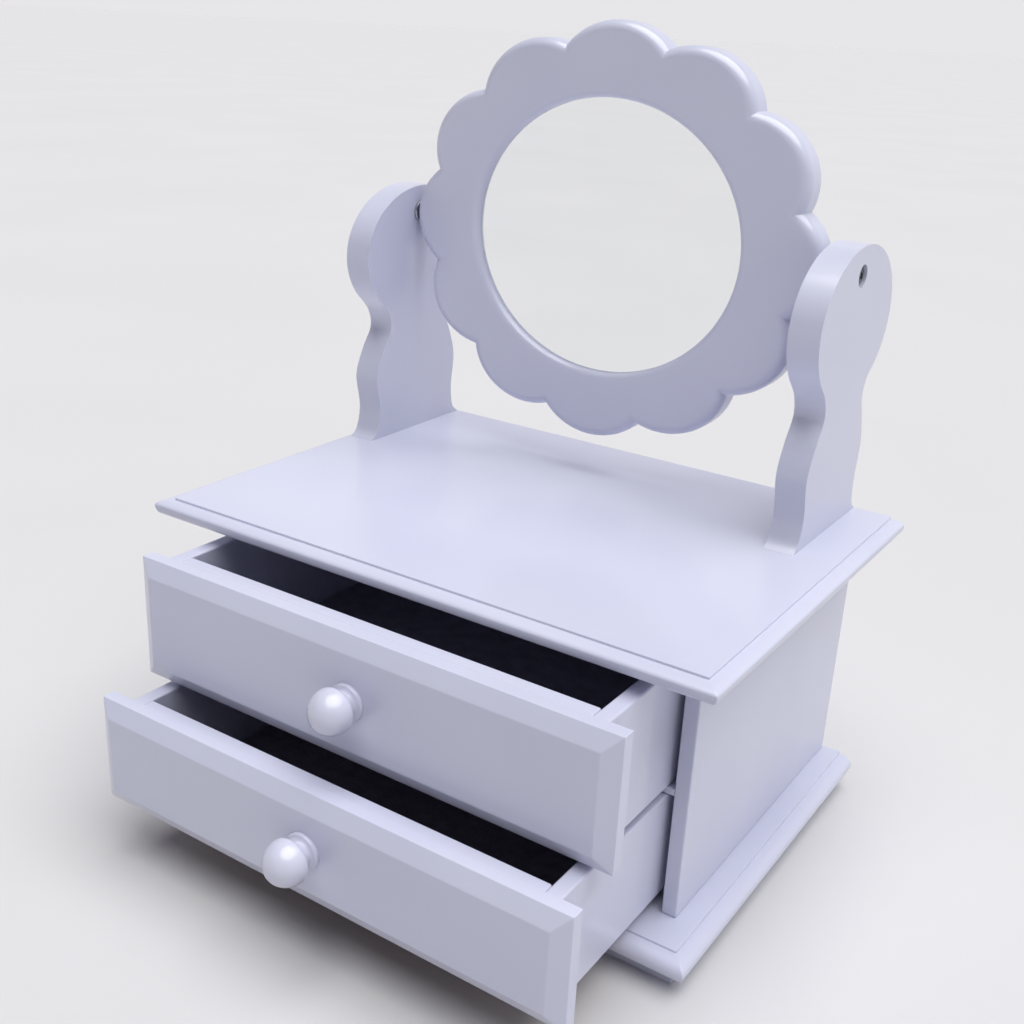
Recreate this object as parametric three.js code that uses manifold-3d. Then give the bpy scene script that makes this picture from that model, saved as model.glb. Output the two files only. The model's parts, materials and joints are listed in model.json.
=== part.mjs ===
// Dressing-table jewelry box: a case with two drawers, and a scalloped mirror that tilts between two posts.
// Millimetres, +Z up, front towards -Y. The origin is on the underside of the base board, below the case's middle.
import * as THREE from 'three';
import { mergeVertices } from 'three/addons/utils/BufferGeometryUtils.js';
import Module from 'manifold-3d';

const wasm = await Module();
wasm.setup();

// Case
const caseWidth = 240;
const caseFront = -83.5;
const caseBack = 83.5;
const panelThickness = 6.7;
const backThickness = 4;
const baseThickness = 18;
const topThickness = 12;
const caseHeight = 118;
const dividerThickness = 3;
const dividerTop = 77.5;
const runnerHeight = 6;
const runnerWidth = 14;
const runnerX = 88;

// Moulded boards: the flat field's half width and front edge, the board's back edge, how far the part under the
// nose stands out from the field's edge, and the heights of the nose's lip and of its widest line
const baseField = { halfWidth: 129.2, front: -100.8, back: 84, under: -1.5, lip: 8.5, widest: 12.5 };
const topField = { halfWidth: 134.3, front: -112.7, back: 86.8, under: -4, lip: 4.5, widest: 8.8 };
const nose = { reach: 6.5, ledge: 1, drop: 1.1, lipRound: 2.4 };

// Drawers
const boxHalfWidth = 110.4;
const wallThickness = 7;
const boxDepth = 155;
const bottomThickness = 3;
const liningThickness = 1.2;
const frontThickness = 10;
const frontEdge = 6;
const frontBevel = 10;
const knobX = 0;
const knobRise = 0.8;
const drawers = [
  { name: 'upper_drawer', open: 55.2, frontBottom: 76.6, frontTop: 133.7, boxBottom: 77.9, boxTop: 133.4 },
  { name: 'lower_drawer', open: 81.5, frontBottom: 25.4, frontTop: 75.8, boxBottom: 24.5, boxTop: 74 },
];

// Knob: a mushroom dome on a short neck and a flange
const knob = { flangeRadius: 8.2, flange: 2.2, neckRadius: 5.8, domeRadius: 9.7, domeStart: 8.4, underRise: 4.4, length: 19 };
const screwRadius = 2;
const screwHole = 2.1;

// Posts and mirror
const mirrorX = -9.2;
const pivotY = 48.5;
const pivotZ = 264.2;
const postGap = 111;
const postThickness = 14;
const headSteps = 28;
const head = { y: 2, z: -21, depth: 44, height: 34 };
const postScrewSpacing = 22;
const openingOval = 0.9;
const outlineOval = 0.884;
const frameThickness = 14;
const frameRound = 2.6;
const lobeCount = 12;
const lobeTip = 109.3;
const lobeValley = 100.2;
const openingRadius = 70.5;
const rebateRadius = 76.4;
const glassRadius = 76;
const glassThickness = 3;
const backingThickness = 6.5;
const clipRadius = 81;

// Surfaces
const white = { color: 0xd6d8e6, roughness: 0.3, metalness: 0 };
const raw = { color: 0xc9b493, roughness: 0.8, metalness: 0 };
const felt = { color: 0x2a2933, roughness: 0.95, metalness: 0 };
const steel = { color: 0xa9abb0, roughness: 0.35, metalness: 1 };
const darkSteel = { color: 0x2e2e36, roughness: 0.4, metalness: 1 };
const silvered = { color: 0xe9ecef, roughness: 0.03, metalness: 1 };

// A cut piece stands this far from the faces it meets
const seam = 0.05;
const topUnder = baseThickness + caseHeight;
const topSurface = topUnder + topThickness;
const box = new THREE.Group();

function addMesh(group, name, geometry, surface) {
  const material = new THREE.MeshStandardMaterial(surface);
  const mesh = new THREE.Mesh(geometry, material);
  mesh.name = name;
  group.add(mesh);
  return mesh;
}

function blockGeometry(low, high) {
  const size = high.map((value, axis) => value - low[axis]);
  const geometry = new THREE.BoxGeometry(size[0], size[1], size[2]);
  geometry.translate(low[0] + size[0] / 2, low[1] + size[1] / 2, low[2] + size[2] / 2);
  return geometry;
}

function addBlock(group, name, low, high, surface) {
  return addMesh(group, name, blockGeometry(low, high), surface);
}

// A closed geometry as a solid, and a solid as a geometry
function toSolid(geometry) {
  const plain = geometry.index ? geometry.toNonIndexed() : geometry.clone();
  plain.deleteAttribute('normal');
  plain.deleteAttribute('uv');
  const merged = mergeVertices(plain, 1e-4);
  const vertProperties = new Float32Array(merged.attributes.position.array);
  const triVerts = new Uint32Array(merged.index.array);
  return new wasm.Manifold(new wasm.Mesh({ numProp: 3, vertProperties, triVerts }));
}

function toGeometry(solid) {
  const mesh = solid.getMesh();
  const geometry = new THREE.BufferGeometry();
  geometry.setAttribute('position', new THREE.BufferAttribute(mesh.vertProperties, 3));
  geometry.setIndex(new THREE.BufferAttribute(mesh.triVerts, 1));
  geometry.computeVertexNormals();
  return geometry;
}

function cutFrom(geometry, ...tools) {
  let solid = toSolid(geometry);
  for (const tool of tools) {
    solid = solid.subtract(toSolid(tool));
  }
  return toGeometry(solid);
}

// A shape drawn in (y, z) and run along X, from x = start to x = end
function extrudeAlongX(shape, start, end, options = {}) {
  const geometry = new THREE.ExtrudeGeometry(shape, { depth: end - start, bevelEnabled: false, ...options });
  geometry.rotateX(Math.PI / 2);
  geometry.rotateZ(Math.PI / 2);
  geometry.translate(start, 0, 0);
  return geometry;
}

// A shape drawn in (x, z) and run along Y, from y = start to y = end
function extrudeAlongY(shape, start, end, options = {}) {
  const geometry = new THREE.ExtrudeGeometry(shape, { depth: end - start, bevelEnabled: false, ...options });
  geometry.rotateX(Math.PI / 2);
  geometry.translate(0, end, 0);
  return geometry;
}

function rodAlong(axis, radius, start, end, centre, sides = 16) {
  const geometry = new THREE.CylinderGeometry(radius, radius, end - start, sides);
  const middle = (start + end) / 2;
  if (axis === 'x') {
    geometry.rotateZ(Math.PI / 2);
    geometry.translate(middle, centre[0], centre[1]);
  } else if (axis === 'y') {
    geometry.translate(centre[0], middle, centre[1]);
  } else {
    geometry.rotateX(Math.PI / 2);
    geometry.translate(centre[0], centre[1], middle);
  }
  return geometry;
}

// The moulding's section, from the underside up: points of (distance out from the field's edge, height)
function mouldingSection(field, thickness) {
  const section = [[field.under, 0], [field.under, field.lip]];
  const curve = 4;
  for (let step = 0; step <= curve; step += 1) {
    const angle = (step / curve - 1) * Math.PI / 2;
    const out = nose.reach - nose.lipRound + nose.lipRound * Math.cos(angle);
    section.push([out, field.widest + (field.widest - field.lip) * Math.sin(angle)]);
  }
  const rise = thickness - nose.drop - field.widest;
  for (let step = 1; step <= curve; step += 1) {
    const angle = step / curve * Math.PI / 2;
    const out = nose.ledge + (nose.reach - nose.ledge) * Math.cos(angle);
    section.push([out, field.widest + rise * Math.sin(angle)]);
  }
  section.push([0, thickness - nose.drop], [0, thickness]);
  return section;
}

// A board moulded on its front and both ends, mitred at the corners, with a plain back edge
function mouldedBoard(field, thickness, bottom) {
  const section = mouldingSection(field, thickness);
  const side = new THREE.Shape();
  side.moveTo(field.back, bottom);
  section.forEach(([out, rise]) => side.lineTo(field.front - out, bottom + rise));
  side.lineTo(field.back, bottom + thickness);
  const across = new THREE.Shape();
  section.forEach(([out, rise], index) => {
    const point = [-field.halfWidth - out, bottom + rise];
    if (index === 0) across.moveTo(...point);
    else across.lineTo(...point);
  });
  section.toReversed().forEach(([out, rise]) => across.lineTo(field.halfWidth + out, bottom + rise));
  const reach = field.halfWidth + 20;
  const lengthwise = toSolid(extrudeAlongX(side, -reach, reach));
  const crosswise = toSolid(extrudeAlongY(across, field.front - 20, field.back + 20));
  return toGeometry(lengthwise.intersect(crosswise));
}

// Places of the screws that hold the posts, seen from above
function postScrewPlaces() {
  const places = [];
  for (const [side, sign] of [['left', -1], ['right', 1]]) {
    for (const [end, step] of [['front', -1], ['rear', 1]]) {
      const x = mirrorX + sign * (postGap + postThickness / 2);
      places.push({ name: `${side}_post_screw_${end}`, x, y: pivotY + step * postScrewSpacing });
    }
  }
  return places;
}

const countersink = { radius: 4.2, depth: 2.6 };
const postScrewLength = 32;

// A countersunk wood screw pointing up, its head flush with the underside of the top board
function woodScrewGeometry(grow) {
  const profile = [
    [0, -grow],
    [countersink.radius + grow, -grow],
    [countersink.radius + grow, 0.4],
    [screwRadius + grow, countersink.depth],
    [screwRadius + grow, postScrewLength - 4],
    [0, postScrewLength + grow],
  ];
  const geometry = new THREE.LatheGeometry(profile.map(([r, z]) => new THREE.Vector2(r, z)), 14);
  geometry.rotateX(Math.PI / 2);
  return geometry;
}

function addCase() {
  const inner = caseWidth / 2 - panelThickness;
  addMesh(box, 'base_board', mouldedBoard(baseField, baseThickness, 0), white);
  const holes = postScrewPlaces().map(({ x, y }) => woodScrewGeometry(0.15).translate(x, y, topUnder));
  const topBoard = mouldedBoard(topField, topThickness, topUnder);
  addMesh(box, 'top_board', cutFrom(topBoard, ...holes), white);
  for (const [side, sign] of [['left', -1], ['right', 1]]) {
    const faces = [sign * inner, sign * caseWidth / 2].sort((a, b) => a - b);
    const low = [faces[0], caseFront, baseThickness];
    addBlock(box, `${side}_side_panel`, low, [faces[1], caseBack, topUnder], white);
    const runner = [sign * runnerX - runnerWidth / 2, caseFront + 4, baseThickness];
    const runnerEnd = [sign * runnerX + runnerWidth / 2, caseBack - backThickness - 4, baseThickness + runnerHeight];
    addBlock(box, `${side}_drawer_runner`, runner, runnerEnd, raw);
  }
  const backFront = caseBack - backThickness;
  addBlock(box, 'back_panel', [-inner, backFront, baseThickness], [inner, caseBack, topUnder], white);
  const shelfLow = [-inner, caseFront, dividerTop - dividerThickness];
  addBlock(box, 'divider_shelf', shelfLow, [inner, backFront, dividerTop], white);
}

// The front board, with a wide shallow bevel on all four sides round a flat field
function drawerFrontGeometry(bottom, top) {
  const field = new THREE.Shape();
  const x = caseWidth / 2 - frontBevel;
  field.moveTo(-x, bottom + frontBevel);
  field.lineTo(x, bottom + frontBevel);
  field.lineTo(x, top - frontBevel);
  field.lineTo(-x, top - frontBevel);
  const bevelThickness = frontThickness - frontEdge;
  const bevel = { bevelEnabled: true, bevelThickness, bevelSize: frontBevel, bevelSegments: 1 };
  const slab = extrudeAlongY(field, -frontEdge, frontEdge, bevel);
  const behind = blockGeometry([-caseWidth, 0, bottom - 20], [caseWidth, 40, top + 20]);
  return cutFrom(slab, behind);
}

function knobGeometry() {
  const rise = knob.length - knob.domeStart;
  const profile = [[0, 0], [knob.flangeRadius, 0], [knob.flangeRadius, knob.flange * 0.6]];
  profile.push([knob.neckRadius + 0.8, knob.flange], [knob.neckRadius, knob.flange + 0.8]);
  const steps = 9;
  for (let step = -5; step <= steps; step += 1) {
    const angle = step / steps * Math.PI / 2;
    const height = step < 0 ? knob.underRise : rise;
    profile.push([knob.domeRadius * Math.cos(angle), knob.domeStart + height * Math.sin(angle)]);
  }
  profile[profile.length - 1][0] = 0;
  const geometry = new THREE.LatheGeometry(profile.map(([r, z]) => new THREE.Vector2(r, z)), 24);
  geometry.rotateX(Math.PI);
  return geometry;
}

const knobScrew = { headRadius: 3.8, head: 2.2, reach: 10 };

function addDrawer({ name, open, frontBottom, frontTop, boxBottom, boxTop }) {
  const drawer = new THREE.Group();
  drawer.position.set(0, caseFront - open, 0);
  box.add(drawer);
  const inner = boxHalfWidth - wallThickness;
  const knobZ = (frontBottom + frontTop) / 2 + knobRise;
  const hole = () => rodAlong('y', screwHole, -40, 40, [knobX, knobZ]);
  const front = drawerFrontGeometry(frontBottom, frontTop);
  addMesh(drawer, `${name}_front`, cutFrom(front, hole()), white);
  const innerLow = [seam - inner, seam, boxBottom];
  const innerFront = blockGeometry(innerLow, [inner - seam, wallThickness - seam, boxTop]);
  addMesh(drawer, `${name}_inner_front`, cutFrom(innerFront, hole()), white);
  addBlock(drawer, `${name}_left_side`, [-boxHalfWidth, 0, boxBottom], [-inner, boxDepth, boxTop], white);
  addBlock(drawer, `${name}_right_side`, [inner, 0, boxBottom], [boxHalfWidth, boxDepth, boxTop], white);
  const backLow = [-inner, boxDepth - wallThickness, boxBottom];
  addBlock(drawer, `${name}_back`, backLow, [inner, boxDepth, boxTop], white);
  const floor = boxBottom + bottomThickness;
  const backInside = boxDepth - wallThickness;
  addBlock(drawer, `${name}_bottom`, [-inner, wallThickness, boxBottom], [inner, backInside, floor], raw);
  const edge = 0.4;
  const liningLow = [-inner + edge, wallThickness + edge, floor];
  const liningHigh = [inner - edge, backInside - edge, floor + liningThickness];
  addBlock(drawer, `${name}_lining`, liningLow, liningHigh, felt);
  const knobSolid = knobGeometry().translate(knobX, -frontThickness - seam, knobZ);
  const pilot = rodAlong('y', screwHole, -frontThickness - knobScrew.reach - 0.3, 5, [knobX, knobZ]);
  addMesh(drawer, `${name}_knob`, cutFrom(knobSolid, pilot), white);
  addMesh(drawer, `${name}_knob_screw`, knobScrewGeometry(knobZ), steel);
}

// A pan-head screw from inside the drawer, through both fronts and into the knob
function knobScrewGeometry(knobZ) {
  const length = wallThickness + frontThickness + knobScrew.reach;
  const profile = [[0, 0], [screwRadius - 0.6, 0], [screwRadius, 1], [screwRadius, length]];
  profile.push([knobScrew.headRadius, length], [knobScrew.headRadius, length + 1.2]);
  profile.push([knobScrew.headRadius - 1.4, length + knobScrew.head], [0, length + knobScrew.head]);
  const geometry = new THREE.LatheGeometry(profile.map(([r, z]) => new THREE.Vector2(r, z)), 14);
  return geometry.translate(knobX, wallThickness - length, knobZ);
}

// The post's edges in (y, height above the top board), from the foot up to the head
const postFront = [[-38.5, 0], [-33.8, 4.5], [-31.6, 16], [-34.4, 33], [-29.5, 46], [-23, 57], [-25, 66]];
const postRear = [[38, 0], [32.8, 5], [31.2, 17], [32.8, 34], [29, 47], [24.4, 57.5], [26.6, 66]];

// The post's outline in (y, z) about the pivot: an oval head on a waisted, wavy foot
function postOutline() {
  const foot = topSurface + seam - pivotZ;
  const shape = new THREE.Shape();
  const start = Math.PI * 1.24;
  const end = -Math.PI * 0.25;
  const place = (angle) => new THREE.Vector2(
    head.y + head.depth * Math.cos(angle),
    head.z + head.height * Math.sin(angle),
  );
  const up = postFront.map(([y, rise]) => new THREE.Vector2(y, foot + rise));
  const down = postRear.map(([y, rise]) => new THREE.Vector2(y, foot + rise));
  shape.moveTo(up[0].x, up[0].y);
  shape.splineThru([...up.slice(1), place(start)]);
  for (let step = 1; step < headSteps; step += 1) {
    const point = place(start + (end - start) * step / headSteps);
    shape.lineTo(point.x, point.y);
  }
  const last = place(end);
  shape.lineTo(last.x, last.y);
  shape.splineThru(down.toReversed());
  return shape;
}

const pivotScrew = { headRadius: 4.6, head: 2.6, recess: 3.4, intoFrame: 18, slotWidth: 1, slotReach: 2.9 };

function addPosts() {
  const posts = new THREE.Group();
  posts.position.set(mirrorX, pivotY, pivotZ);
  box.add(posts);
  for (const [side, sign] of [['left', -1], ['right', 1]]) {
    const inside = postGap;
    const outside = postGap + postThickness;
    const faces = [sign * inside, sign * outside].sort((a, b) => a - b);
    const board = extrudeAlongX(postOutline(), faces[0], faces[1], { curveSegments: 3 });
    const bore = rodAlong('x', screwHole, ...ordered(sign, inside - 2, outside + 2), [0, 0]);
    const recess = rodAlong('x', pivotScrew.headRadius + 0.4, ...ordered(sign, outside - pivotScrew.recess, outside + 2), [0, 0]);
    const under = topUnder - pivotZ;
    const screws = [-1, 1].map((step) => {
      const x = sign * (postGap + postThickness / 2);
      return woodScrewGeometry(0.15).translate(x, step * postScrewSpacing, under);
    });
    addMesh(posts, `${side}_post`, cutFrom(board, bore, recess, ...screws), white);
    addMesh(posts, `${side}_pivot_screw`, pivotScrewGeometry(sign, outside), darkSteel);
    addMesh(posts, `${side}_pivot_washer`, pivotWasherGeometry(sign), steel);
  }
  for (const { name, x, y } of postScrewPlaces()) {
    const screw = addMesh(box, name, woodScrewGeometry(0), steel);
    screw.position.set(x, y, topUnder);
  }
}

function ordered(sign, near, far) {
  return sign > 0 ? [near, far] : [-far, -near];
}

// A cross-head screw whose shank is the mirror's pivot
function pivotScrewGeometry(sign, outside) {
  const seat = outside - pivotScrew.recess + 0.15;
  const shank = rodAlong('x', screwRadius, ...ordered(sign, lobeTip - pivotScrew.intoFrame, seat + 0.5), [0, 0]);
  const headDisc = rodAlong('x', pivotScrew.headRadius, ...ordered(sign, seat, seat + pivotScrew.head), [0, 0], 24);
  const slots = [[pivotScrew.slotReach, pivotScrew.slotWidth], [pivotScrew.slotWidth, pivotScrew.slotReach]];
  let solid = toSolid(shank).add(toSolid(headDisc));
  for (const [halfY, halfZ] of slots) {
    const [near, far] = ordered(sign, seat + pivotScrew.head - 1.4, seat + pivotScrew.head + 2);
    const slot = blockGeometry([near, -halfY, -halfZ], [far, halfY, halfZ]);
    solid = solid.subtract(toSolid(slot));
  }
  return toGeometry(solid);
}

function pivotWasherGeometry(sign) {
  const [near, far] = ordered(sign, lobeTip + 0.25, postGap - 0.25);
  const disc = rodAlong('x', 5.5, near, far, [0, 0], 20);
  return cutFrom(disc, rodAlong('x', screwHole, near - 2, far + 2, [0, 0]));
}

// The scalloped outline: twelve round lobes of one radius, flattened to an oval
function scallopOutline() {
  const half = Math.PI / lobeCount;
  const chord = lobeValley * Math.sin(half);
  const rise = lobeTip - lobeValley * Math.cos(half);
  const radius = (chord * chord + rise * rise) / (2 * rise);
  const centre = lobeTip - radius;
  const sweep = Math.atan2(chord, lobeValley * Math.cos(half) - centre);
  const shape = new THREE.Shape();
  const steps = 7;
  for (let lobe = 0; lobe < lobeCount; lobe += 1) {
    const middle = lobe * 2 * half;
    for (let step = 0; step < steps; step += 1) {
      const angle = middle + sweep * (2 * step / steps - 1);
      const x = centre * Math.cos(middle) + radius * Math.cos(angle);
      const z = (centre * Math.sin(middle) + radius * Math.sin(angle)) * outlineOval;
      if (lobe === 0 && step === 0) shape.moveTo(x, z);
      else shape.lineTo(x, z);
    }
  }
  return shape;
}

function oval(radius, steps) {
  const shape = new THREE.Shape();
  shape.absellipse(0, 0, radius, radius * openingOval, 0, Math.PI * 2, false);
  return new THREE.Shape(shape.getPoints(steps));
}

// A flat oval plate between y = start and y = end
function ovalPlate(radius, start, end) {
  return extrudeAlongY(oval(radius, 48), start, end);
}

function frameGeometry() {
  const half = frameThickness / 2;
  const outline = scallopOutline();
  outline.holes.push(oval(openingRadius, 48));
  const round = { bevelEnabled: true, bevelThickness: frameRound, bevelSize: frameRound, bevelSegments: 2 };
  round.bevelOffset = -frameRound;
  const ring = extrudeAlongY(outline, -half + frameRound, half - frameRound, round);
  const rebate = ovalPlate(rebateRadius, glassSeat(), half + 5);
  const bores = [-1, 1].map((sign) => {
    return rodAlong('x', screwHole, ...ordered(sign, lobeTip - pivotScrew.intoFrame - 0.4, lobeTip + 5), [0, 0]);
  });
  const clipHoles = clipPlaces().map(({ x, z }) => rodAlong('y', 1.35, half - 6.4, half + 2, [x, z], 12));
  return cutFrom(ring, rebate, ...bores, ...clipHoles);
}

function glassSeat() {
  return frameThickness / 2 - backingThickness - glassThickness - 0.6;
}

function clipPlaces() {
  return [45, 135, 225, 315].map((degrees, index) => {
    const angle = degrees * Math.PI / 180;
    const x = clipRadius * Math.cos(angle);
    return { number: index + 1, angle, x, z: clipRadius * openingOval * Math.sin(angle) };
  });
}

// A small steel clip whose inner end lies over the backing's edge, held by one screw
function clipGeometry(x, z, angle) {
  const back = frameThickness / 2;
  const plate = blockGeometry([-9, back + 0.1, -4], [4.5, back + 1, 4]);
  plate.rotateY(-angle);
  plate.translate(x, 0, z);
  return cutFrom(plate, rodAlong('y', 1.45, back - 2, back + 3, [x, z], 12));
}

function clipScrewGeometry() {
  const profile = [[0, 0], [0.5, 0], [1.2, 1.2], [1.2, 7.2], [2.5, 7.2], [2.5, 7.8], [1.5, 8.6], [0, 8.6]];
  return new THREE.LatheGeometry(profile.map(([r, y]) => new THREE.Vector2(r, y)), 10);
}

function addMirror() {
  const mirror = new THREE.Group();
  mirror.position.set(mirrorX, pivotY, pivotZ);
  box.add(mirror);
  const half = frameThickness / 2;
  const seat = glassSeat() + 0.1;
  addMesh(mirror, 'mirror_frame', frameGeometry(), white);
  addMesh(mirror, 'mirror_glass', ovalPlate(glassRadius, seat, seat + glassThickness), silvered);
  const backing = seat + glassThickness + 0.1;
  addMesh(mirror, 'mirror_backing', ovalPlate(glassRadius, backing, backing + backingThickness), raw);
  for (const { number, angle, x, z } of clipPlaces()) {
    addMesh(mirror, `backing_clip_${number}`, clipGeometry(x, z, angle), steel);
    const screw = addMesh(mirror, `backing_clip_screw_${number}`, clipScrewGeometry(), steel);
    screw.position.set(x, half + 1.1 - 7.2, z);
  }
}

addCase();
drawers.forEach(addDrawer);
addPosts();
addMirror();

export default box;
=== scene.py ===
import bmesh
import bpy
import json
import math
from mathutils import Matrix, Quaternion, Vector, noise


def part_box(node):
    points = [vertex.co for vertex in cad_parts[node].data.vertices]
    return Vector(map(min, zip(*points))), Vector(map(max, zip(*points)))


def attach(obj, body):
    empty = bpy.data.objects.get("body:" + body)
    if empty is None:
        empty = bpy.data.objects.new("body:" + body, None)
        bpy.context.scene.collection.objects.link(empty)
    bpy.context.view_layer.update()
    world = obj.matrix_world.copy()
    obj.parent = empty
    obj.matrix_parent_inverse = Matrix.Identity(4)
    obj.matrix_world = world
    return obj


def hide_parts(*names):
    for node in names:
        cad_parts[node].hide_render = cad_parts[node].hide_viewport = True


# dressing-table jewelry box: a lacquered case with two felt-lined drawers, and a scalloped mirror held
# between two posts, which it turns on
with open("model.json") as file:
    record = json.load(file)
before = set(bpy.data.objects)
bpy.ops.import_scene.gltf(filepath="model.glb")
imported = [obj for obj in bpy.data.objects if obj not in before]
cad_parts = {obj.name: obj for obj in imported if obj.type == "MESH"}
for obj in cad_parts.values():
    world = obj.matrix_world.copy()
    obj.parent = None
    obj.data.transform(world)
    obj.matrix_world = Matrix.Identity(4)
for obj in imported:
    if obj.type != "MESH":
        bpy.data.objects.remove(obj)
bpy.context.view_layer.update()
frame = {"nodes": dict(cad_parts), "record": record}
scene = bpy.context.scene
mm = 0.001
print("frame loaded:", len(frame["nodes"]), "nodes")

# camera
view = {"place": (0.2831, -0.4763, 0.3569), "aim": (-0.0194, -0.0063, 0.1386), "roll": 2.9, "lens": 43.96}


def makeCamera():
    data = bpy.data.cameras.new("viewCamera")
    data.lens = view["lens"]
    data.clip_start = 0.02
    data.clip_end = 60
    camera = bpy.data.objects.new("viewCamera", data)
    scene.collection.objects.link(camera)
    look = Vector(view["aim"]) - Vector(view["place"])
    camera.location = view["place"]
    camera.rotation_mode = "QUATERNION"
    roll = Quaternion((0, 0, 1), math.radians(view["roll"]))
    camera.rotation_quaternion = look.to_track_quat("-Z", "Y") @ roll
    scene.camera = camera


makeCamera()
scene.view_settings.view_transform = "Standard"
print("camera placed")


# materials
def linearColour(hexColour):
    channels = [int(hexColour[start:start + 2], 16) / 255 for start in (1, 3, 5)]
    return [c / 12.92 if c <= 0.04045 else ((c + 0.055) / 1.055) ** 2.4 for c in channels] + [1]


def addNode(tree, kind, settings=None, links=None):
    node = tree.nodes.new(kind)
    for name, value in (settings or {}).items():
        if isinstance(name, int) or name in node.inputs:
            node.inputs[name].default_value = value
        else:
            setattr(node, name, value)
    for name, source in (links or {}).items():
        tree.links.new(source, node.inputs[name])
    return node


def startMaterial(name, shaderSettings):
    material = bpy.data.materials.new(name)
    material.use_nodes = True
    tree = material.node_tree
    tree.nodes.clear()
    shader = addNode(tree, "ShaderNodeBsdfPrincipled", shaderSettings)
    addNode(tree, "ShaderNodeOutputMaterial", links={"Surface": shader.outputs["BSDF"]})
    place = addNode(tree, "ShaderNodeTexCoord").outputs["Object"]
    return material, tree, shader, place


def perMetre(size):
    return 1 / (size * mm)  # a noise scale that gives features of this many millimetres


def noiseOf(tree, place, size, detail=2, roughness=0.5):
    settings = {"Scale": perMetre(size), "Detail": detail, "Roughness": roughness}
    return addNode(tree, "ShaderNodeTexNoise", settings, {"Vector": place}).outputs["Fac"]


def blendColours(tree, factor, first, second):
    settings = {"data_type": "RGBA", 6: linearColour(first), 7: linearColour(second)}
    return addNode(tree, "ShaderNodeMix", settings, {0: factor}).outputs[2]


def spread(tree, factor, low, high, fromLow=0.25, fromHigh=0.75):
    # not clamped, because flat ends of a noise show as marks on a smooth finish
    settings = {"From Min": fromLow, "From Max": fromHigh, "To Min": low, "To Max": high, "clamp": False}
    return addNode(tree, "ShaderNodeMapRange", settings, {"Value": factor}).outputs["Result"]


# satin polyurethane lacquer sprayed on fibreboard: a soft sheen over a very faint orange peel, cool white
lacquerLook = {
    "colour": "#CFD1E3", "shade": "#CACCE0", "drift": 70, "peel": 2.2, "peelDepth": 0.05,
    "smooth": 0.29, "rough": 0.37, "polish": 30, "coat": 0.45, "coatRoughness": 0.1,
}


def satinLacquer(name, look):
    shaderSettings = {
        "IOR": 1.5, "Coat Weight": look["coat"], "Coat Roughness": look["coatRoughness"], "Coat IOR": 1.5,
    }
    material, tree, shader, place = startMaterial(name, shaderSettings)
    drift = spread(tree, noiseOf(tree, place, look["drift"], 1), 0, 1)
    tree.links.new(blendColours(tree, drift, look["colour"], look["shade"]), shader.inputs["Base Color"])
    polish = noiseOf(tree, place, look["polish"], 1)
    tree.links.new(spread(tree, polish, look["smooth"], look["rough"]), shader.inputs["Roughness"])
    peel = noiseOf(tree, place, look["peel"], 2)
    bumpSettings = {"Strength": look["peelDepth"], "Distance": 0.3 * mm}
    bump = addNode(tree, "ShaderNodeBump", bumpSettings, {"Height": peel})
    tree.links.new(bump.outputs["Normal"], shader.inputs["Normal"])
    tree.links.new(bump.outputs["Normal"], shader.inputs["Coat Normal"])
    return material


# tempered hardboard: brown pressed fibre, dull, with darker flecks
hardboardLook = {"colour": "#9A7A55", "shade": "#7C5E3F", "fleck": "#5E4630", "fibre": 1.6, "cloud": 22}


def pressedHardboard(name, look):
    material, tree, shader, place = startMaterial(name, {"IOR": 1.5, "Roughness": 0.72})
    stretched = addNode(tree, "ShaderNodeMapping", {"Scale": (1, 0.45, 1)}, {"Vector": place})
    fibre = noiseOf(tree, stretched.outputs["Vector"], look["fibre"], 5, 0.65)
    cloud = spread(tree, noiseOf(tree, place, look["cloud"], 3), 0, 1)
    ground = blendColours(tree, cloud, look["colour"], look["shade"])
    fleckSettings = {"data_type": "RGBA", 7: linearColour(look["fleck"])}
    fleckShare = spread(tree, fibre, 0, 0.8, 0.5, 0.72)
    flecked = addNode(tree, "ShaderNodeMix", fleckSettings, {0: fleckShare, 6: ground})
    tree.links.new(flecked.outputs[2], shader.inputs["Base Color"])
    bump = addNode(tree, "ShaderNodeBump", {"Strength": 0.35, "Distance": 0.25 * mm}, {"Height": fibre})
    tree.links.new(bump.outputs["Normal"], shader.inputs["Normal"])
    return material


# charcoal needle felt: matte tangled fibres with a faint grey bloom where they catch the light
feltLook = {"colour": "#7F7D8D", "fibreColour": "#A5A3B3", "fibre": 0.9, "tuft": 7}


def needleFelt(name, look):
    shaderSettings = {
        "Roughness": 0.95, "Sheen Weight": 0.35, "Sheen Roughness": 0.5,
        "Sheen Tint": linearColour("#A3A1AE"),
    }
    material, tree, shader, place = startMaterial(name, shaderSettings)
    fibre = noiseOf(tree, place, look["fibre"], 6, 0.75)
    tuft = noiseOf(tree, place, look["tuft"], 3)
    mixed = addNode(tree, "ShaderNodeMath", {"operation": "MULTIPLY_ADD", 1: 0.45}, {0: tuft, 2: fibre})
    both = mixed.outputs["Value"]
    tone = blendColours(tree, spread(tree, both, 0, 1, 0.5, 0.95), look["colour"], look["fibreColour"])
    tree.links.new(tone, shader.inputs["Base Color"])
    bump = addNode(tree, "ShaderNodeBump", {"Strength": 0.4, "Distance": 0.15 * mm}, {"Height": both})
    tree.links.new(bump.outputs["Normal"], shader.inputs["Normal"])
    return material


# silvered float glass: a clear bright reflection with the faintest wiping haze
def silveredGlass(name):
    material, tree, shader, place = startMaterial(name, {"Metallic": 1.0})
    haze = noiseOf(tree, place, 45, 4, 0.6)
    tree.links.new(spread(tree, haze, 0.008, 0.03), shader.inputs["Roughness"])
    tone = blendColours(tree, spread(tree, haze, 0, 1), "#FBFCFC", "#F8FAFA")
    tree.links.new(tone, shader.inputs["Base Color"])
    return material


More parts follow.
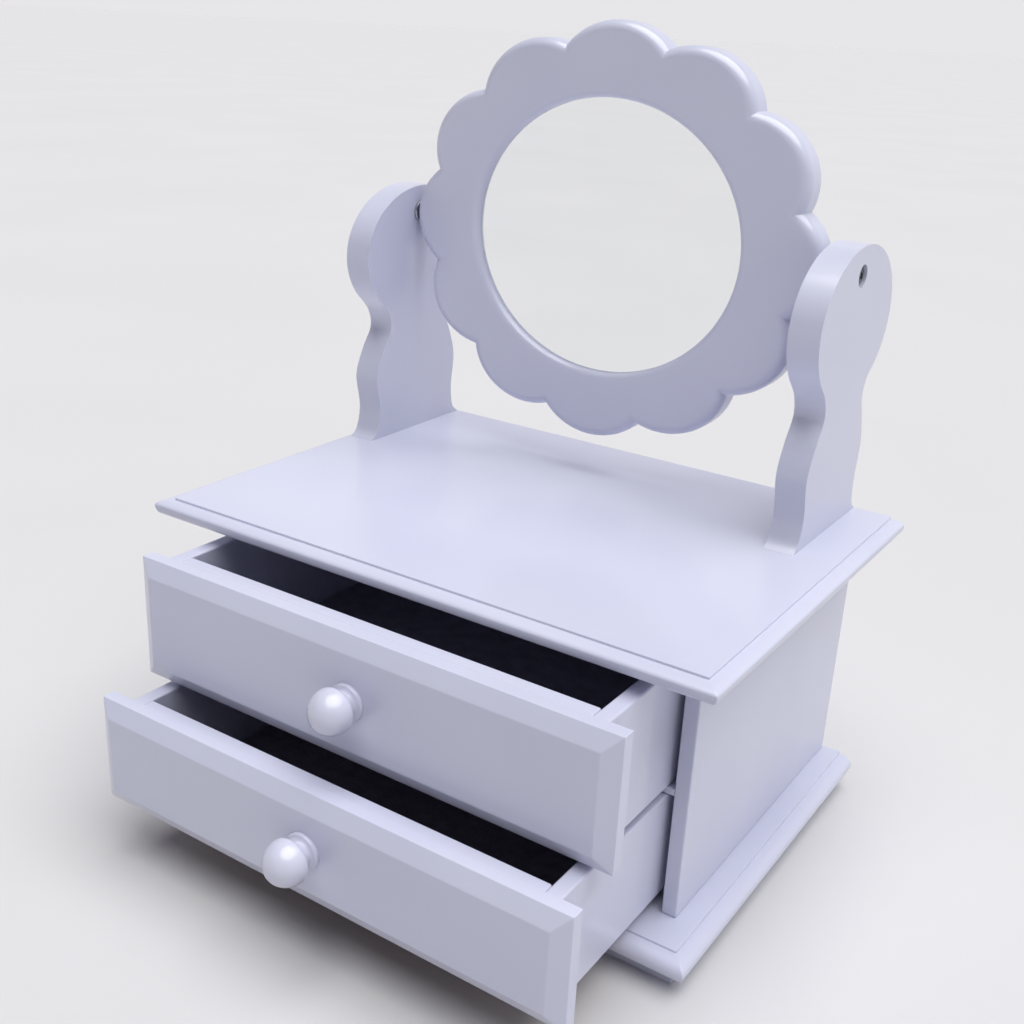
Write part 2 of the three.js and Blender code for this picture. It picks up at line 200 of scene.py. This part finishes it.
# drawn steel, zinc plated or blackened: fine turning marks, brighter where it is rubbed
def turnedSteel(name, colour, shade, smooth, rough):
    material, tree, shader, place = startMaterial(name, {"Metallic": 1.0})
    grain = noiseOf(tree, place, 0.5, 4, 0.6)
    tree.links.new(blendColours(tree, spread(tree, grain, 0, 1), colour, shade), shader.inputs["Base Color"])
    tree.links.new(spread(tree, grain, smooth, rough), shader.inputs["Roughness"])
    bump = addNode(tree, "ShaderNodeBump", {"Strength": 0.12, "Distance": 0.05 * mm}, {"Height": grain})
    tree.links.new(bump.outputs["Normal"], shader.inputs["Normal"])
    return material


# the knobs carry the same paint, rubbed smoother
knobLook = {
    **lacquerLook, "colour": "#D0D1E2", "shade": "#CCCDDF",
    "smooth": 0.24, "rough": 0.3, "coatRoughness": 0.12,
}
lacquer = satinLacquer("satinLacquerOnFibreboard", lacquerLook)
knobLacquer = satinLacquer("glossLacquerOnTurnedWood", knobLook)
hardboard = pressedHardboard("temperedHardboard", hardboardLook)
felt = needleFelt("charcoalNeedleFelt", feltLook)
mirrorGlass = silveredGlass("silveredFloatGlass")
zincSteel = turnedSteel("zincPlatedSteel", "#C2C4C8", "#A6A8AE", 0.24, 0.38)
blackSteel = turnedSteel("blackenedSteel", "#62646F", "#40424C", 0.28, 0.42)
print("materials made")


# shared shaping
def finishPiece(mesh, name, material, body, replaced, sharp=38):
    bmesh.ops.remove_doubles(mesh, verts=mesh.verts, dist=1e-6)
    bmesh.ops.recalc_face_normals(mesh, faces=mesh.faces)
    data = bpy.data.meshes.new(name)
    mesh.to_mesh(data)
    mesh.free()
    piece = bpy.data.objects.new(name, data)
    scene.collection.objects.link(piece)
    data.materials.append(material)
    shadePiece(piece, sharp)
    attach(piece, body)
    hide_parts(*replaced)
    return piece


def shadePiece(piece, sharp):
    piece.data.shade_smooth()
    piece.data.set_sharp_from_angle(angle=math.radians(sharp))
    if "faceWeights" not in piece.modifiers:
        weights = piece.modifiers.new("faceWeights", "WEIGHTED_NORMAL")
        weights.keep_sharp = True


def roundEdges(mesh, edges, radius, segments=3):
    bmesh.ops.bevel(
        mesh, geom=edges, offset=radius, segments=segments,
        affect="EDGES", profile=0.5, material=-1, clamp_overlap=True,
    )


def addBlock(mesh, low, high):
    made = bmesh.ops.create_cube(mesh, size=1)
    bmesh.ops.scale(mesh, vec=high - low, verts=made["verts"])
    bmesh.ops.translate(mesh, vec=(low + high) / 2, verts=made["verts"])
    return made["verts"]


def roundedBlock(low, high, radius, segments=3):
    mesh = bmesh.new()
    addBlock(mesh, Vector(low), Vector(high))
    roundEdges(mesh, mesh.edges[:], radius, segments)
    return mesh


def closedRing(mesh, points):
    verts = [mesh.verts.new(point) for point in points]
    return [mesh.edges.new((verts[i - 1], verts[i])) for i in range(len(verts))]


def bridgeRings(mesh, rings):
    for first, second in zip(rings, rings[1:]):
        bmesh.ops.bridge_loops(mesh, edges=first + second)


def quarter(steps, start=0):
    # cosine and sine of each step from 0 to 90 degrees
    angles = [math.pi / 2 * step / steps for step in range(start, steps + 1)]
    return [(math.cos(angle), math.sin(angle)) for angle in angles]


def spinProfile(mesh, profile, axis, steps):
    # profile runs as (distance from the axis, distance along it), and the axis passes through the origin
    along = Vector(axis)
    out = Vector((0, 0, 1)) if abs(along.z) < 0.5 else Vector((1, 0, 0))
    verts = [mesh.verts.new(out * radius + along * length) for radius, length in profile]
    edges = [mesh.edges.new(pair) for pair in zip(verts, verts[1:])]
    bmesh.ops.spin(
        mesh, geom=verts + edges, cent=(0, 0, 0), axis=axis, angle=2 * math.pi, steps=steps, use_merge=True,
    )
    bmesh.ops.remove_doubles(mesh, verts=mesh.verts, dist=1e-6)
    bmesh.ops.dissolve_degenerate(mesh, edges=mesh.edges, dist=1e-7)


def cutAway(piece, cutterMesh, sharp):
    bmesh.ops.recalc_face_normals(cutterMesh, faces=cutterMesh.faces)
    data = bpy.data.meshes.new("cutter")
    cutterMesh.to_mesh(data)
    cutterMesh.free()
    cutter = bpy.data.objects.new("cutter", data)
    scene.collection.objects.link(cutter)
    kept = piece.modifiers.get("faceWeights")
    if kept:
        piece.modifiers.remove(kept)
    cut = piece.modifiers.new("cut", "BOOLEAN")
    cut.operation = "DIFFERENCE"
    cut.solver = "EXACT"
    cut.object = cutter
    evaluated = piece.evaluated_get(bpy.context.evaluated_depsgraph_get())
    shaped = bpy.data.meshes.new_from_object(evaluated)
    shaped.name = piece.name
    piece.modifiers.remove(cut)
    material = piece.data.materials[0]
    piece.data = shaped
    shaped.materials.clear()
    shaped.materials.append(material)
    bpy.data.objects.remove(cutter)
    shadePiece(piece, sharp)


# moulded boards: a raised field, a rounded nose, and a set-back strip under it, with a plain back edge
moulding = {
    "fieldInset": 6.5, "ledgeInset": 5.6, "drop": 1.1, "lipRound": 2.4, "steps": 9,
    "mitreRound": 0.55, "fieldRound": 0.35, "slope": 0.03,
}
boards = {
    "base_board": {"underInset": 8.0, "lip": 8.5, "widest": 12.5},
    "top_board": {"underInset": 10.5, "lip": 4.5, "widest": 8.8},
}


def mouldingSection(thickness, shape):
    # each point is (set back from the nose, height above the underside), from the underside to the raised
    # field; the ledges slope a little, because two loops in one plane bridge the wrong way round
    section = [(shape["underInset"], 0), (shape["underInset"], shape["lip"] - moulding["slope"])]
    lipRise = shape["widest"] - shape["lip"]
    for cosine, sine in reversed(quarter(moulding["steps"])):
        section.append((moulding["lipRound"] * (1 - cosine), shape["widest"] - lipRise * sine))
    noseRise = thickness - moulding["drop"] - shape["widest"]
    for cosine, sine in quarter(moulding["steps"], 1):
        section.append((moulding["ledgeInset"] * (1 - cosine), shape["widest"] + noseRise * sine))
    top = thickness - moulding["drop"]
    easing = moulding["fieldRound"]
    inset = moulding["fieldInset"]
    section += [(inset, top + moulding["slope"]), (inset, thickness - easing)]
    section += [(inset + 0.1, thickness - 0.1), (inset + easing, thickness)]
    return section


def mouldedBoard(name, shape):
    low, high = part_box(name)
    mesh = bmesh.new()
    rings = []
    for inward, rise in mouldingSection((high.z - low.z) / mm, shape):
        z = low.z + rise * mm
        left, right, front = low.x + inward * mm, high.x - inward * mm, low.y + inward * mm
        corners = [(left, front, z), (right, front, z), (right, high.y, z), (left, high.y, z)]
        rings.append(closedRing(mesh, corners))
    bridgeRings(mesh, rings)
    for ring in (rings[0], rings[-1]):
        bmesh.ops.contextual_create(mesh, geom=ring)
    bmesh.ops.dissolve_degenerate(mesh, edges=mesh.edges, dist=1e-7)
    mitres = [edge for edge in mesh.edges if isMitre(edge)]
    roundEdges(mesh, mitres, moulding["mitreRound"] * mm, 2)
    finishPiece(mesh, name + "_moulded", lacquer, "case", [name], sharp=32)


def isMitre(edge):
    # the short slanting edges at the two front corners
    first, second = (vert.co for vert in edge.verts)
    slant = abs(abs(first.x - second.x) - abs(first.y - second.y)) < 1e-6
    return slant and (first - second).length < 20 * mm and min(first.y, second.y) < 0


for boardName, boardShape in boards.items():
    mouldedBoard(boardName, boardShape)
print("moulded boards made")

# flat panels of the case, each with the rounding of its edges in millimetres
panels = {"left_side_panel": 0.7, "right_side_panel": 0.7, "back_panel": 0.3, "divider_shelf": 0.4}
for panelName, edgeRound in panels.items():
    panelMesh = roundedBlock(*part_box(panelName), edgeRound * mm)
    finishPiece(panelMesh, panelName + "_board", lacquer, "case", [panelName])
for side in ("left", "right"):
    runner = side + "_drawer_runner"
    strip = roundedBlock(*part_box(runner), 0.5 * mm)
    finishPiece(strip, runner + "_strip", hardboard, "case", [runner])
print("case panels made")

# drawers
drawerShape = {
    "frontEdge": 6, "bevelWidth": 10, "arris": 0.6, "ridge": 0.5, "wallRound": 0.9, "floorRound": 0.2,
}


def drawerFront(name, body):
    low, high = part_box(name)
    mesh = bmesh.new()
    addBlock(mesh, Vector((low.x, high.y - drawerShape["frontEdge"] * mm, low.z)), high)
    mesh.faces.ensure_lookup_table()
    face = min(mesh.faces, key=lambda one: one.calc_center_median().y)
    bmesh.ops.inset_region(mesh, faces=[face], thickness=drawerShape["bevelWidth"] * mm, depth=0)
    bmesh.ops.translate(mesh, vec=(0, low.y - face.calc_center_median().y, 0), verts=face.verts)
    ridges = list(face.edges) + [edge for edge in mesh.edges if isHip(edge)]
    ridge = drawerShape["ridge"] * mm
    bmesh.ops.bevel(mesh, geom=ridges, offset=ridge, segments=2, affect="EDGES", profile=0.5, material=-1)
    outer = [edge for edge in mesh.edges if isOuterEdge(edge, low, high)]
    roundEdges(mesh, outer, drawerShape["arris"] * mm, 3)
    finishPiece(mesh, name + "_board", lacquer, body, [name], sharp=30)


def isHip(edge):
    # the edges from the corners of the raised face down to the rim
    first, second = (vert.co for vert in edge.verts)
    gap = second - first
    return all(abs(part) > 1 * mm for part in gap)


def near(first, second):
    return abs(first - second) < 0.02 * mm


def sidesMet(point, low, high):
    # the flat sides of the board that a point lies on, which leaves out its bevelled face
    met = {axis for axis in (0, 2) if near(point[axis], low[axis])}
    return met | {axis + 3 for axis in range(3) if near(point[axis], high[axis])}


def isOuterEdge(edge, low, high):
    first, second = (vert.co for vert in edge.verts)
    frontEdge = high.y - drawerShape["frontEdge"] * mm
    common = sidesMet(first, low, high) & sidesMet(second, low, high)
    onFrontRim = near(first.y, frontEdge) and near(second.y, frontEdge)
    return len(common) >= 2 or (len(common) == 1 and onFrontRim)


knobShape = {
    "flangeRadius": 8.2, "flangeRise": 1.0, "flangeRound": 0.8, "neckRadius": 5.8,
    "cove": [(0.9, 2.0), (0.25, 2.4), (0, 3.0)], "domeRadius": 9.7, "domeStart": 8.4, "underRise": 4.4,
    "length": 19, "steps": 14, "underSteps": 7, "turns": 64,
}


def knobProfile():
    shape = knobShape
    rise = shape["length"] - shape["domeStart"]
    rim = shape["flangeRadius"] - shape["flangeRound"]
    neck = shape["neckRadius"]
    profile = [(0, 0), (shape["flangeRadius"], 0)]
    for cosine, sine in quarter(5):
        profile.append((rim + shape["flangeRound"] * cosine, shape["flangeRise"] + shape["flangeRound"] * sine))
    profile += [(neck + out, height) for out, height in shape["cove"]]
    steps = shape["steps"]
    for step in range(-shape["underSteps"], steps + 1):
        angle = step / steps * math.pi / 2
        height = shape["underRise"] if step < 0 else rise
        profile.append((shape["domeRadius"] * math.cos(angle), shape["domeStart"] + height * math.sin(angle)))
    profile[-1] = (0, shape["length"])
    return [(radius * mm, length * mm) for radius, length in profile]


def turnedKnob(name, body):
    low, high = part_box(name)
    mesh = bmesh.new()
    spinProfile(mesh, knobProfile(), (0, -1, 0), knobShape["turns"])
    centre = (low + high) / 2
    bmesh.ops.translate(mesh, vec=(centre.x, high.y, centre.z), verts=mesh.verts)
    finishPiece(mesh, name + "_turned", knobLacquer, body, [name], sharp=50)


liningShape = {"columns": 90, "rows": 58, "ripple": 0.22, "wave": 9}


def feltLining(name, body):
    low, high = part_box(name)
    mesh = bmesh.new()
    bmesh.ops.create_grid(mesh, x_segments=liningShape["columns"], y_segments=liningShape["rows"], size=0.5)
    size = high - low
    bmesh.ops.scale(mesh, vec=(size.x, size.y, 1), verts=mesh.verts)
    middle = Vector(((low.x + high.x) / 2, (low.y + high.y) / 2, low.z + 0.05 * mm))
    bmesh.ops.translate(mesh, vec=middle, verts=mesh.verts)
    wave = liningShape["wave"] * mm
    lifted = bmesh.ops.extrude_face_region(mesh, geom=mesh.faces[:])
    for vert in (item for item in lifted["geom"] if isinstance(item, bmesh.types.BMVert)):
        ripple = noise.noise(vert.co / wave) * liningShape["ripple"] * mm
        vert.co.z = high.z - liningShape["ripple"] * mm + ripple
    piece = finishPiece(mesh, name + "_felt", felt, body, [name], sharp=60)


# fasteners: a turned head with a cross recess
def screwProfile(shape):
    head, height, shank, length = (shape[key] * mm for key in ("head", "height", "shank", "length"))
    if shape["flat"]:
        profile = [(0, -length), (shank * 0.3, -length), (shank, -length + 2.5 * shank), (shank, -height)]
        profile += [(head, height * 0.55), (head, height * 0.9), (head - 0.15 * mm, height), (0, height)]
        return profile
    crown = [(head * cosine, height * 0.45 + height * 0.55 * sine) for cosine, sine in quarter(6)[:-1]]
    profile = [(0, -length), (shank * 0.6, -length), (shank, -length + 0.8 * shank), (shank, 0), (head, 0)]
    return profile + crown + [(0, height)]


def cutSlot(piece, shape, angle):
    reach, width, height, depth = (shape[key] * mm for key in ("recess", "slot", "height", "depth"))
    cutter = bmesh.new()
    above = height + 1 * mm
    blade = addBlock(cutter, Vector((-reach, -width, height - depth)), Vector((reach, width, above)))
    bmesh.ops.rotate(cutter, cent=(0, 0, 0), matrix=Matrix.Rotation(angle, 3, "Z"), verts=blade)
    tip = [vert for vert in blade if vert.co.z < height]
    bmesh.ops.scale(cutter, vec=(0.55, 0.55, 1), verts=tip)
    cutAway(piece, cutter, 40)


def crossScrew(node, material, body, shape, place):
    # the screw is made at the origin, standing on its point, and place carries it to its seat
    mesh = bmesh.new()
    spinProfile(mesh, screwProfile(shape), (0, 0, 1), 40)
    piece = finishPiece(mesh, node + "_steel", material, body, [node], sharp=40)
    for angle in (0.5, 0.5 + math.pi / 2):
        cutSlot(piece, shape, angle)
    piece.data.transform(place)


def screwSizes(head, height, shank, length, recess, slot, depth, flat=False):
    return {
        "head": head, "height": height, "shank": shank, "length": length,
        "recess": recess, "slot": slot, "depth": depth, "flat": flat,
    }


# half widths of the head, shank, recess and slot, with the heights and lengths whole
screwShapes = {
    "pivot": screwSizes(4.6, 2.6, 2.0, 30, recess=2.9, slot=0.55, depth=1.5),
    "knob": screwSizes(3.8, 2.1, 2.0, 26.5, recess=2.3, slot=0.45, depth=1.2),
    "clip": screwSizes(2.5, 1.35, 1.15, 7.0, recess=1.5, slot=0.32, depth=0.8),
    "post": screwSizes(4.1, 1.2, 1.9, 28, recess=2.4, slot=0.45, depth=1.0, flat=True),
}
towardsBack = Matrix.Rotation(-math.pi / 2, 4, "X")
downwards = Matrix.Rotation(math.pi, 4, "X")

for drawer in ("upper_drawer", "lower_drawer"):
    drawerFront(drawer + "_front", drawer)
    for part in ("inner_front", "left_side", "right_side", "back"):
        node = f"{drawer}_{part}"
        wall = roundedBlock(*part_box(node), drawerShape["wallRound"] * mm)
        finishPiece(wall, node + "_wall", lacquer, drawer, [node])
    node = drawer + "_bottom"
    sheet = roundedBlock(*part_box(node), drawerShape["floorRound"] * mm)
    floorPiece = finishPiece(sheet, node + "_sheet", hardboard, drawer, [node])
    feltLining(drawer + "_lining", drawer)
    turnedKnob(drawer + "_knob", drawer)
    node = drawer + "_knob_screw"
    seat = sum(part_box(node), Vector()) / 2
    seat.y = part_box(drawer + "_inner_front")[1].y
    seated = Matrix.Translation(seat) @ towardsBack
    crossScrew(node, zincSteel, drawer, screwShapes["knob"], seated)
print("drawers made")

# posts: a waisted, wavy foot and an oval head, sawn from board and rounded over on both faces
postShape = {
    "headY": 2, "headZ": -21, "headDepth": 44, "headHeight": 34, "headStart": 1.24, "headEnd": -0.25,
    "front": [(-38.5, 0), (-33.8, 4.5), (-31.6, 16), (-34.4, 33), (-29.5, 46), (-23, 57), (-25, 66)],
    "rear": [(26.6, 66), (24.4, 57.5), (29, 47), (32.8, 34), (31.2, 17), (32.8, 5), (38, 0)],
    "roundOver": 1.3, "recessRadius": 5, "recessDepth": 3.4, "headSteps": 72,
}
joints = {joint["name"]: joint for joint in frame["record"]["behaviour"]["joints"]}
pivot = Vector(joints["mirror_pivot"]["pos_m"])
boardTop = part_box("top_board")[1].z


def curveThrough(points, steps=8):
    # a smooth curve that passes through every point
    smooth = []
    ends = [points[0]] + points + [points[-1]]
    for before, start, end, after in zip(ends, ends[1:], ends[2:], ends[3:]):
        for step in range(steps):
            t = step / steps
            smooth.append(((before * -1 + start * 3 - end * 3 + after) * t ** 3
                           + (before * 2 - start * 5 + end * 4 - after) * t ** 2
                           + (end - before) * t + start * 2) / 2)
    return smooth + [points[-1]]


def headPoint(angle):
    y = postShape["headY"] + postShape["headDepth"] * math.cos(angle)
    z = postShape["headZ"] + postShape["headHeight"] * math.sin(angle)
    return Vector((pivot.y + y * mm, pivot.z + z * mm))


def postOutline():
    # up the front of the post, over its oval head, and down the rear
    shape = postShape
    start, end = shape["headStart"] * math.pi, shape["headEnd"] * math.pi
    steps = shape["headSteps"]
    front = [Vector((pivot.y + y * mm, boardTop + rise * mm)) for y, rise in shape["front"]]
    rear = [Vector((pivot.y + y * mm, boardTop + rise * mm)) for y, rise in shape["rear"]]
    arc = [headPoint(start + (end - start) * (step / steps)) for step in range(steps + 1)]
    return curveThrough(front + [arc[0]])[:-1] + arc + curveThrough([arc[-1]] + rear)[1:]


def shapedPost(side):
    node = side + "_post"
    low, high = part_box(node)
    mesh = bmesh.new()
    verts = [mesh.verts.new((low.x, point.x, point.y)) for point in postOutline()]
    face = mesh.faces.new(verts)
    raised = bmesh.ops.extrude_face_region(mesh, geom=[face])
    moved = [item for item in raised["geom"] if isinstance(item, bmesh.types.BMVert)]
    bmesh.ops.translate(mesh, vec=(high.x - low.x, 0, 0), verts=moved)
    faceEdges = [edge for edge in mesh.edges if abs(edge.verts[0].co.x - edge.verts[1].co.x) < 1e-7]
    rims = [edge for edge in faceEdges if max(vert.co.z for vert in edge.verts) > boardTop + 0.3 * mm]
    roundEdges(mesh, rims, postShape["roundOver"] * mm, 4)
    piece = finishPiece(mesh, node + "_board", lacquer, "case", [node], sharp=35)
    outer = high.x if side == "right" else low.x
    inward = -1 if side == "right" else 1
    recess = bmesh.new()
    radius, depth = postShape["recessRadius"] * mm, 2 * postShape["recessDepth"] * mm
    acrossPost = Matrix.Translation((outer, pivot.y, pivot.z)) @ Matrix.Rotation(math.pi / 2, 4, "Y")
    bmesh.ops.create_cone(
        recess, cap_ends=True, segments=48, radius1=radius, radius2=radius, depth=depth, matrix=acrossPost,
    )
    cutAway(piece, recess, 35)
    return outer, inward


washerShape = {"bore": 2.2, "rim": 5.5, "easing": 0.2, "segments": 48}


def turnedWasher(node):
    low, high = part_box(node)
    bore, rim, easing = (washerShape[key] * mm for key in ("bore", "rim", "easing"))
    half = (high.x - low.x) / 2
    section = [(bore, -half), (rim - easing, -half), (rim, easing - half)]
    section += [(rim, half - easing), (rim - easing, half), (bore, half), (bore, -half)]
    mesh = bmesh.new()
    spinProfile(mesh, section, (1, 0, 0), washerShape["segments"])
    bmesh.ops.translate(mesh, vec=((low.x + high.x) / 2, pivot.y, pivot.z), verts=mesh.verts)
    finishPiece(mesh, node + "_steel", zincSteel, "mirror", [node])


for side in ("left", "right"):
    outer, inward = shapedPost(side)
    headSeat = Vector((outer + inward * (postShape["recessDepth"] - 0.15) * mm, pivot.y, pivot.z))
    seated = Matrix.Translation(headSeat) @ Matrix.Rotation(-inward * math.pi / 2, 4, "Y")
    crossScrew(side + "_pivot_screw", blackSteel, "mirror", screwShapes["pivot"], seated)
    turnedWasher(side + "_pivot_washer")
    for end in ("front", "rear"):
        node = f"{side}_post_screw_{end}"
        low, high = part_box(node)
        under = Vector(((low.x + high.x) / 2, (low.y + high.y) / 2, low.z))
        under.z += (screwShapes["post"]["height"] + 0.05) * mm
        seated = Matrix.Translation(under) @ downwards
        crossScrew(node, zincSteel, "case", screwShapes["post"], seated)
print("posts made")

# mirror frame: twelve round lobes, a deep roundover on the front, a softer one at the opening, and a
# rebate behind
frameShape = {
    "lobes": 12, "perLobe": 18, "tip": 109.3, "valley": 100.2, "outlineOval": 0.884, "openingOval": 0.9,
    "roundOver": 5.4, "backRound": 1.2, "opening": 70.5, "openingRound": 3.2, "rebate": 76.4, "seat": -3.1,
    "thickness": 14,
}


def lobeRing(inset, y):
    # one arc for each lobe, drawn in by inset, meeting its neighbours in the valleys; the whole is an oval
    shape = frameShape
    half = math.pi / shape["lobes"]
    rise = shape["tip"] - shape["valley"] * math.cos(half)
    chord = shape["valley"] * math.sin(half)
    radius = (chord ** 2 + rise ** 2) / (2 * rise)
    centre = shape["tip"] - radius
    radius -= inset
    reach = centre * math.cos(half) + math.sqrt(radius ** 2 - (centre * math.sin(half)) ** 2)
    sweep = math.atan2(reach * math.sin(half), reach * math.cos(half) - centre)
    points = []
    for lobe in range(shape["lobes"]):
        middle = 2 * half * lobe
        for step in range(shape["perLobe"]):
            angle = middle + sweep * (2 * step / shape["perLobe"] - 1)
            x = centre * math.cos(middle) + radius * math.cos(angle)
            z = (centre * math.sin(middle) + radius * math.sin(angle)) * shape["outlineOval"]
            points.append(pivot + Vector((x, y, z)) * mm)
    return points


def ovalRing(radius, y):
    count = frameShape["lobes"] * frameShape["perLobe"]
    half = math.pi / frameShape["lobes"]
    points = []
    for step in range(count):
        angle = 2 * math.pi * step / count - half
        offset = Vector((radius * math.cos(angle), y, radius * frameShape["openingOval"] * math.sin(angle)))
        points.append(pivot + offset * mm)
    return points


def mirrorFrame():
    shape = frameShape
    half = shape["thickness"] / 2
    back, front = shape["backRound"], shape["roundOver"]
    slight = 0.02  # flat faces fall by this much, because two loops in one plane bridge the wrong way round
    mesh = bmesh.new()
    rings = []
    for cosine, sine in reversed(quarter(3)):
        rings.append(closedRing(mesh, lobeRing(back * (1 - cosine), half - back + back * sine)))
    for cosine, sine in quarter(10)[:-1]:
        rings.append(closedRing(mesh, lobeRing(front * (1 - cosine), front - half - front * sine)))
    rings.append(closedRing(mesh, lobeRing(front + 0.3, -half)))
    soft = shape["openingRound"]
    rings.append(closedRing(mesh, ovalRing(shape["opening"] + soft + 0.3, slight - half)))
    for cosine, sine in reversed(quarter(7)[:-1]):
        reach = shape["opening"] + soft - soft * cosine
        rings.append(closedRing(mesh, ovalRing(reach, soft - half - soft * sine)))
    rings.append(closedRing(mesh, ovalRing(shape["opening"], shape["seat"])))
    rings.append(closedRing(mesh, ovalRing(shape["rebate"], shape["seat"] + slight)))
    rings.append(closedRing(mesh, ovalRing(shape["rebate"], half - 0.3)))
    rings.append(closedRing(mesh, ovalRing(shape["rebate"] + 0.3, half - slight)))
    rings.append(closedRing(mesh, lobeRing(back, half)))  # meets the first ring and is merged with it
    bridgeRings(mesh, rings)
    replaced = ["mirror_frame"]
    finishPiece(mesh, "mirror_frame_scalloped", lacquer, "mirror", replaced, sharp=34)


def ovalPlate(name, node, material, arris):
    low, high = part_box(node)
    radius = (high.x - low.x) / 2
    mesh = bmesh.new()
    lyingBack = Matrix.Rotation(math.pi / 2, 4, "X")
    bmesh.ops.create_cone(
        mesh, cap_ends=True, segments=160, radius1=radius, radius2=radius,
        depth=high.y - low.y, matrix=lyingBack,
    )
    bmesh.ops.scale(mesh, vec=(1, 1, (high.z - low.z) / (high.x - low.x)), verts=mesh.verts)
    bmesh.ops.translate(mesh, vec=(low + high) / 2, verts=mesh.verts)
    rims = [edge for edge in mesh.edges if abs(edge.verts[0].co.y - edge.verts[1].co.y) < 1e-7]
    roundEdges(mesh, rims, arris * mm, 2)
    finishPiece(mesh, name, material, "mirror", [node])


mirrorFrame()
ovalPlate("mirror_glass_pane", "mirror_glass", mirrorGlass, 0.35)
ovalPlate("mirror_backing_sheet", "mirror_backing", hardboard, 0.3)

clipShape = {
    "places": 81, "inner": -9, "outer": 4.5, "halfWidth": 4, "thickness": 0.9, "cornerRound": 1.6,
    "stand": 0.1, "edgeRound": 0.15,
}


def backingClip(number, angle):
    shape = clipShape
    across = shape["places"] * math.cos(angle)
    upwards = shape["places"] * frameShape["openingOval"] * math.sin(angle)
    spot = pivot + Vector((across, frameShape["thickness"] / 2 + shape["stand"], upwards)) * mm
    mesh = bmesh.new()
    innerCorner = Vector((shape["inner"], 0, -shape["halfWidth"])) * mm
    addBlock(mesh, innerCorner, Vector((shape["outer"], shape["thickness"], shape["halfWidth"])) * mm)
    corners = [edge for edge in mesh.edges if abs(edge.verts[0].co.y - edge.verts[1].co.y) > 0.5 * mm]
    roundEdges(mesh, corners, shape["cornerRound"] * mm, 5)
    rims = [edge for edge in mesh.edges if abs(edge.verts[0].co.y - edge.verts[1].co.y) < 1e-7]
    roundEdges(mesh, rims, shape["edgeRound"] * mm, 2)
    bmesh.ops.rotate(mesh, cent=(0, 0, 0), matrix=Matrix.Rotation(-angle, 3, "Y"), verts=mesh.verts)
    bmesh.ops.translate(mesh, vec=spot, verts=mesh.verts)
    node = f"backing_clip_{number}"
    finishPiece(mesh, node + "_plate", zincSteel, "mirror", [node])
    onClip = spot + Vector((0, shape["thickness"] + 0.05, 0)) * mm
    seated = Matrix.Translation(onClip) @ towardsBack
    crossScrew(f"backing_clip_screw_{number}", zincSteel, "mirror", screwShapes["clip"], seated)


for number, degrees in enumerate((45, 135, 225, 315), start=1):
    backingClip(number, math.radians(degrees))
print("mirror made")


# floor, room and lights
def makeFloor():
    mesh = bmesh.new()
    bmesh.ops.create_circle(mesh, cap_ends=True, segments=128, radius=200)
    data = bpy.data.meshes.new("floor")
    mesh.to_mesh(data)
    mesh.free()
    floor = bpy.data.objects.new("floor", data)
    scene.collection.objects.link(floor)
    shaderSettings = {"Roughness": 0.9, "Specular IOR Level": 0.2}
    material, tree, shader, place = startMaterial("palePaperSweep", shaderSettings)
    tone = spread(tree, noiseOf(tree, place, 400, 2), 0, 1)
    tree.links.new(blendColours(tree, tone, "#D0CFD0", "#CDCCCD"), shader.inputs["Base Color"])
    data.materials.append(material)


# the room is pale behind the box and dimmer on the side it is looked at from, which keeps the fronts
# in soft shade; each pair is where a change starts and ends, as a share of the way up or back
roomLight = {
    "horizon": "#E7E6E8", "behind": "#D6D6DB", "facing": "#5A5A62",
    "leaveHorizon": (0.045, 0.12), "turnBehind": (-0.15, 0.75), "reachOverhead": (0.35, 0.75),
}


def easedShare(tree, source, limits, start=0.0, end=1.0):
    settings = {
        "From Min": limits[0], "From Max": limits[1], "To Min": start, "To Max": end,
        "interpolation_type": "SMOOTHSTEP",
    }
    return addNode(tree, "ShaderNodeMapRange", settings, {"Value": source}).outputs["Result"]


def makeRoom():
    world = bpy.data.worlds.new("paleRoom")
    world.use_nodes = True
    scene.world = world
    tree = world.node_tree
    tree.nodes.clear()
    place = addNode(tree, "ShaderNodeTexCoord").outputs["Generated"]
    parts = addNode(tree, "ShaderNodeSeparateXYZ", links={"Vector": place}).outputs
    lift = easedShare(tree, parts["Z"], roomLight["leaveHorizon"])
    turn = easedShare(tree, parts["Y"], roomLight["turnBehind"])
    low = easedShare(tree, parts["Z"], roomLight["reachOverhead"], 1.0, 0.0)
    behind = addNode(tree, "ShaderNodeMath", {"operation": "MULTIPLY"}, {0: turn, 1: low}).outputs["Value"]
    upper = blendColours(tree, behind, roomLight["facing"], roomLight["behind"])
    mixSettings = {"data_type": "RGBA", 6: linearColour(roomLight["horizon"])}
    mixed = addNode(tree, "ShaderNodeMix", mixSettings, {0: lift, 7: upper})
    background = addNode(tree, "ShaderNodeBackground", links={"Color": mixed.outputs[2]})
    addNode(tree, "ShaderNodeOutputWorld", links={"Surface": background.outputs["Background"]})


lamps = {
    "overhead": {"towards": (-0.2, 0.03, -1.0), "power": 3.5, "angle": 62, "colour": "#FFFFFF"},
    "right": {"towards": (-1.0, 0.0, -0.55), "power": 0.12, "angle": 40, "colour": "#F6F8FF"},
}


def makeLamps():
    for name, lamp in lamps.items():
        data = bpy.data.lights.new(name, "SUN")
        data.energy = lamp["power"]
        data.angle = math.radians(lamp["angle"])
        data.color = linearColour(lamp["colour"])[:3]
        light = bpy.data.objects.new(name, data)
        light.rotation_mode = "QUATERNION"
        light.rotation_quaternion = Vector(lamp["towards"]).to_track_quat("-Z", "Y")
        scene.collection.objects.link(light)


makeFloor()
makeRoom()
makeLamps()
print("floor, room and lights made")
